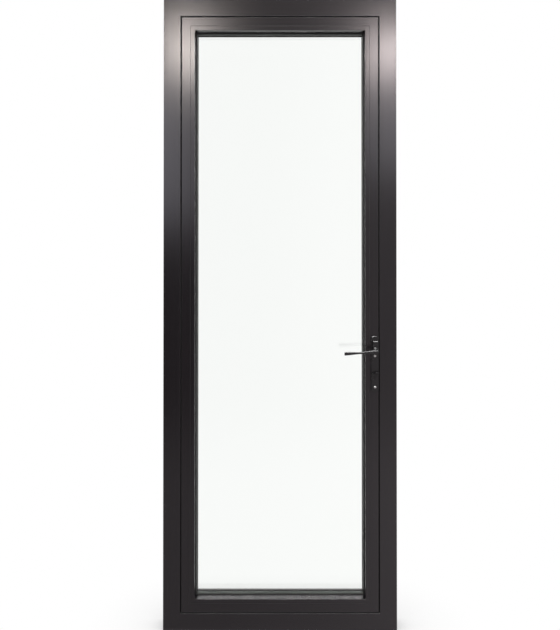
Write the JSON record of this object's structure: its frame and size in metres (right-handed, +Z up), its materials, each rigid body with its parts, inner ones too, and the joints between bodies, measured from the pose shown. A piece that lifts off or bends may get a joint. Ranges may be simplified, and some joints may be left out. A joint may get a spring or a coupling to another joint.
{
  "type": "glazed entry door with frame",
  "caption": "Outward-opening glazed aluminium entry door in its frame: lever and thumb-turn inside, knob and hinges outside.",
  "frame": {"origin": "bottom centre of the closed door's bounding box: middle of the frame's width, middle of its 70 mm depth, at the underside of the sill member", "axes": "+Z up, +Y from the room to the street (away from the viewer of the picture), +X to the right as seen from the room"},
  "size_m": [0.85, 0.186, 2.3],
  "materials": {
    "black_aluminium": "satin black powder coat on extruded aluminium",
    "black_die_cast": "satin black powder coat on die-cast metal",
    "mill_aluminium": "matte mill finish",
    "polyamide": "matte black glass-filled polyamide",
    "black_rubber": "matte black rubber",
    "clear_glass": "polished float glass",
    "spacer_aluminium": "satin aluminium",
    "grey_plastic": "matte grey plastic",
    "stainless_steel": "satin stainless steel",
    "zinc_steel": "satin zinc-plated steel",
    "white_nylon": "matte white nylon",
    "black_brass": "satin black coating on brass",
    "plain_brass": "satin brass"
  },
  "bodies": {
    "frame": {"frame_inner_left": "black_aluminium", "frame_inner_head": "black_aluminium", "frame_inner_right": "black_aluminium", "frame_inner_sill": "black_aluminium", "frame_outer_left": "black_aluminium", "frame_outer_head": "black_aluminium", "frame_outer_right": "black_aluminium", "frame_outer_sill": "black_aluminium", "frame_isolators": "polyamide", "frame_corner_cleats": "mill_aluminium", "stop_seal": "black_rubber", "strike_plate": "stainless_steel", "strike_screws": "stainless_steel", "hinge_pins": "stainless_steel", "hinge_frame_screws": "stainless_steel", "hinge_frame_half_bottom": "black_die_cast", "hinge_frame_half_middle": "black_die_cast", "hinge_frame_half_top": "black_die_cast"},
    "leaf": {"leaf_inner_left": "black_aluminium", "leaf_outer_left": "black_aluminium", "glazing_bead_left": "black_aluminium", "leaf_inner_head": "black_aluminium", "leaf_outer_head": "black_aluminium", "glazing_bead_head": "black_aluminium", "leaf_inner_right": "black_aluminium", "leaf_outer_right": "black_aluminium", "glazing_bead_right": "black_aluminium", "leaf_inner_sill": "black_aluminium", "leaf_outer_sill": "black_aluminium", "glazing_bead_sill": "black_aluminium", "hinge_leaf_half_bottom": "black_die_cast", "hinge_leaf_half_middle": "black_die_cast", "hinge_leaf_half_top": "black_die_cast", "leaf_isolators": "polyamide", "leaf_corner_cleats": "mill_aluminium", "inner_glazing_seal": "black_rubber", "outer_glazing_seal": "black_rubber", "room_pane": "clear_glass", "street_pane": "clear_glass", "spacer_bar": "spacer_aluminium", "setting_blocks": "grey_plastic", "hinge_bushes": "white_nylon", "hinge_leaf_screws": "stainless_steel", "lock_case": "zinc_steel", "lock_cover": "zinc_steel", "lock_faceplate": "stainless_steel", "lock_screws": "stainless_steel", "cylinder_body": "black_brass", "room_handle_plate": "black_die_cast", "street_handle_plate": "black_die_cast", "handle_screws": "stainless_steel", "street_knob": "black_die_cast"},
    "lever_set": {"room_lever": "black_die_cast", "handle_spindle": "zinc_steel", "lock_follower": "zinc_steel"},
    "latch": {"latch_bolt": "zinc_steel"},
    "deadbolt": {"deadbolt": "zinc_steel"},
    "thumbturn": {"thumb_turn": "black_brass", "cylinder_cam": "zinc_steel"},
    "key_plug": {"key_plug": "plain_brass"}
  },
  "joints": [
    {"name": "door_swing", "type": "hinge", "parent": "frame", "child": "leaf", "pos_m": [-0.386, 0.046, 1.15], "axis": [0, 0, 1], "range_deg": [0, 110]},
    {"name": "lever_turn", "type": "hinge", "parent": "leaf", "child": "lever_set", "pos_m": [0.345, 0, 1.02], "axis": [0, -1, 0], "range_deg": [0, 45], "stiffness_Nm_per_rad": 1, "springref_deg": -20.05},
    {"name": "latch_slide", "type": "slide", "parent": "leaf", "child": "latch", "axis": [-1, 0, 0], "range_m": [0, 0.011]},
    {"name": "thumbturn_turn", "type": "hinge", "parent": "leaf", "child": "thumbturn", "pos_m": [0.345, 0, 0.935], "axis": [0, -1, 0], "range_deg": [0, 360]},
    {"name": "deadbolt_slide", "type": "slide", "parent": "leaf", "child": "deadbolt", "axis": [1, 0, 0], "range_m": [0, 0.02]},
    {"name": "key_plug_turn", "type": "hinge", "parent": "leaf", "child": "key_plug", "pos_m": [0.345, 0, 0.935], "axis": [0, -1, 0], "range_deg": [0, 360]}
  ],
  "couplings": [
    {"joint": "latch_slide", "follows": "lever_turn", "m_per_rad": 0.014006},
    {"joint": "thumbturn_turn", "follows": "deadbolt_slide", "rad_per_m": 314.16}
  ]
}
